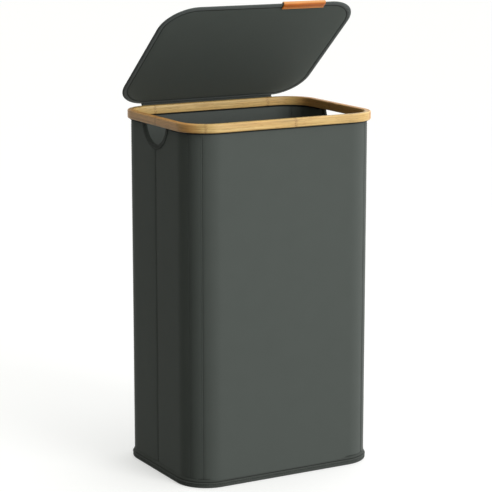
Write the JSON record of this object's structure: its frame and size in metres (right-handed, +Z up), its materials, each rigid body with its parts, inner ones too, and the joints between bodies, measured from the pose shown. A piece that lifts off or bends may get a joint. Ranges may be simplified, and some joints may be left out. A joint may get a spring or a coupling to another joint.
{
  "type": "laundry hamper",
  "caption": "Tall fabric laundry hamper with rounded corners, a bamboo rim, half-round hand holes in the short sides and a cloth-hinged lid with a leather pull tab.",
  "frame": {"origin": "centre of the underside of the base, on the floor", "axes": "+Z up, -Y towards the front long face, the lid hinges along +Y; +X to the right seen from the front"},
  "size_m": [0.402, 0.3163, 0.873],
  "materials": {
    "bamboo": "satin",
    "green_cloth": "matte",
    "dark_cloth": "matte",
    "stiffener": "matte",
    "fibreboard": "matte",
    "leather": "satin"
  },
  "bodies": {
    "body": {"bamboo_rim_ring": "bamboo", "outer_sleeve": "green_cloth", "inner_lining": "dark_cloth", "front_board": "stiffener", "back_board": "stiffener", "left_front_board": "stiffener", "left_rear_board": "stiffener", "right_front_board": "stiffener", "right_rear_board": "stiffener", "front_left_corner_stay": "stiffener", "front_right_corner_stay": "stiffener", "rear_left_corner_stay": "stiffener", "rear_right_corner_stay": "stiffener", "left_handle_binding": "dark_cloth", "right_handle_binding": "dark_cloth", "base_cloth": "dark_cloth", "base_board": "fibreboard", "hem_band": "green_cloth", "hinge_strip_body": "dark_cloth"},
    "lid": {"hinge_strip_lid": "dark_cloth", "lid_board": "stiffener", "lid_top_cloth": "green_cloth", "lid_underside_cloth": "dark_cloth", "lid_edge_binding": "green_cloth", "leather_pull_tab": "leather"}
  },
  "joints": [
    {"name": "lid_hinge", "type": "hinge", "parent": "body", "child": "lid", "pos_m": [0, 0.1575, 0.657], "axis": [-1, 0, 0], "range_deg": [-39.5, 165]}
  ]
}
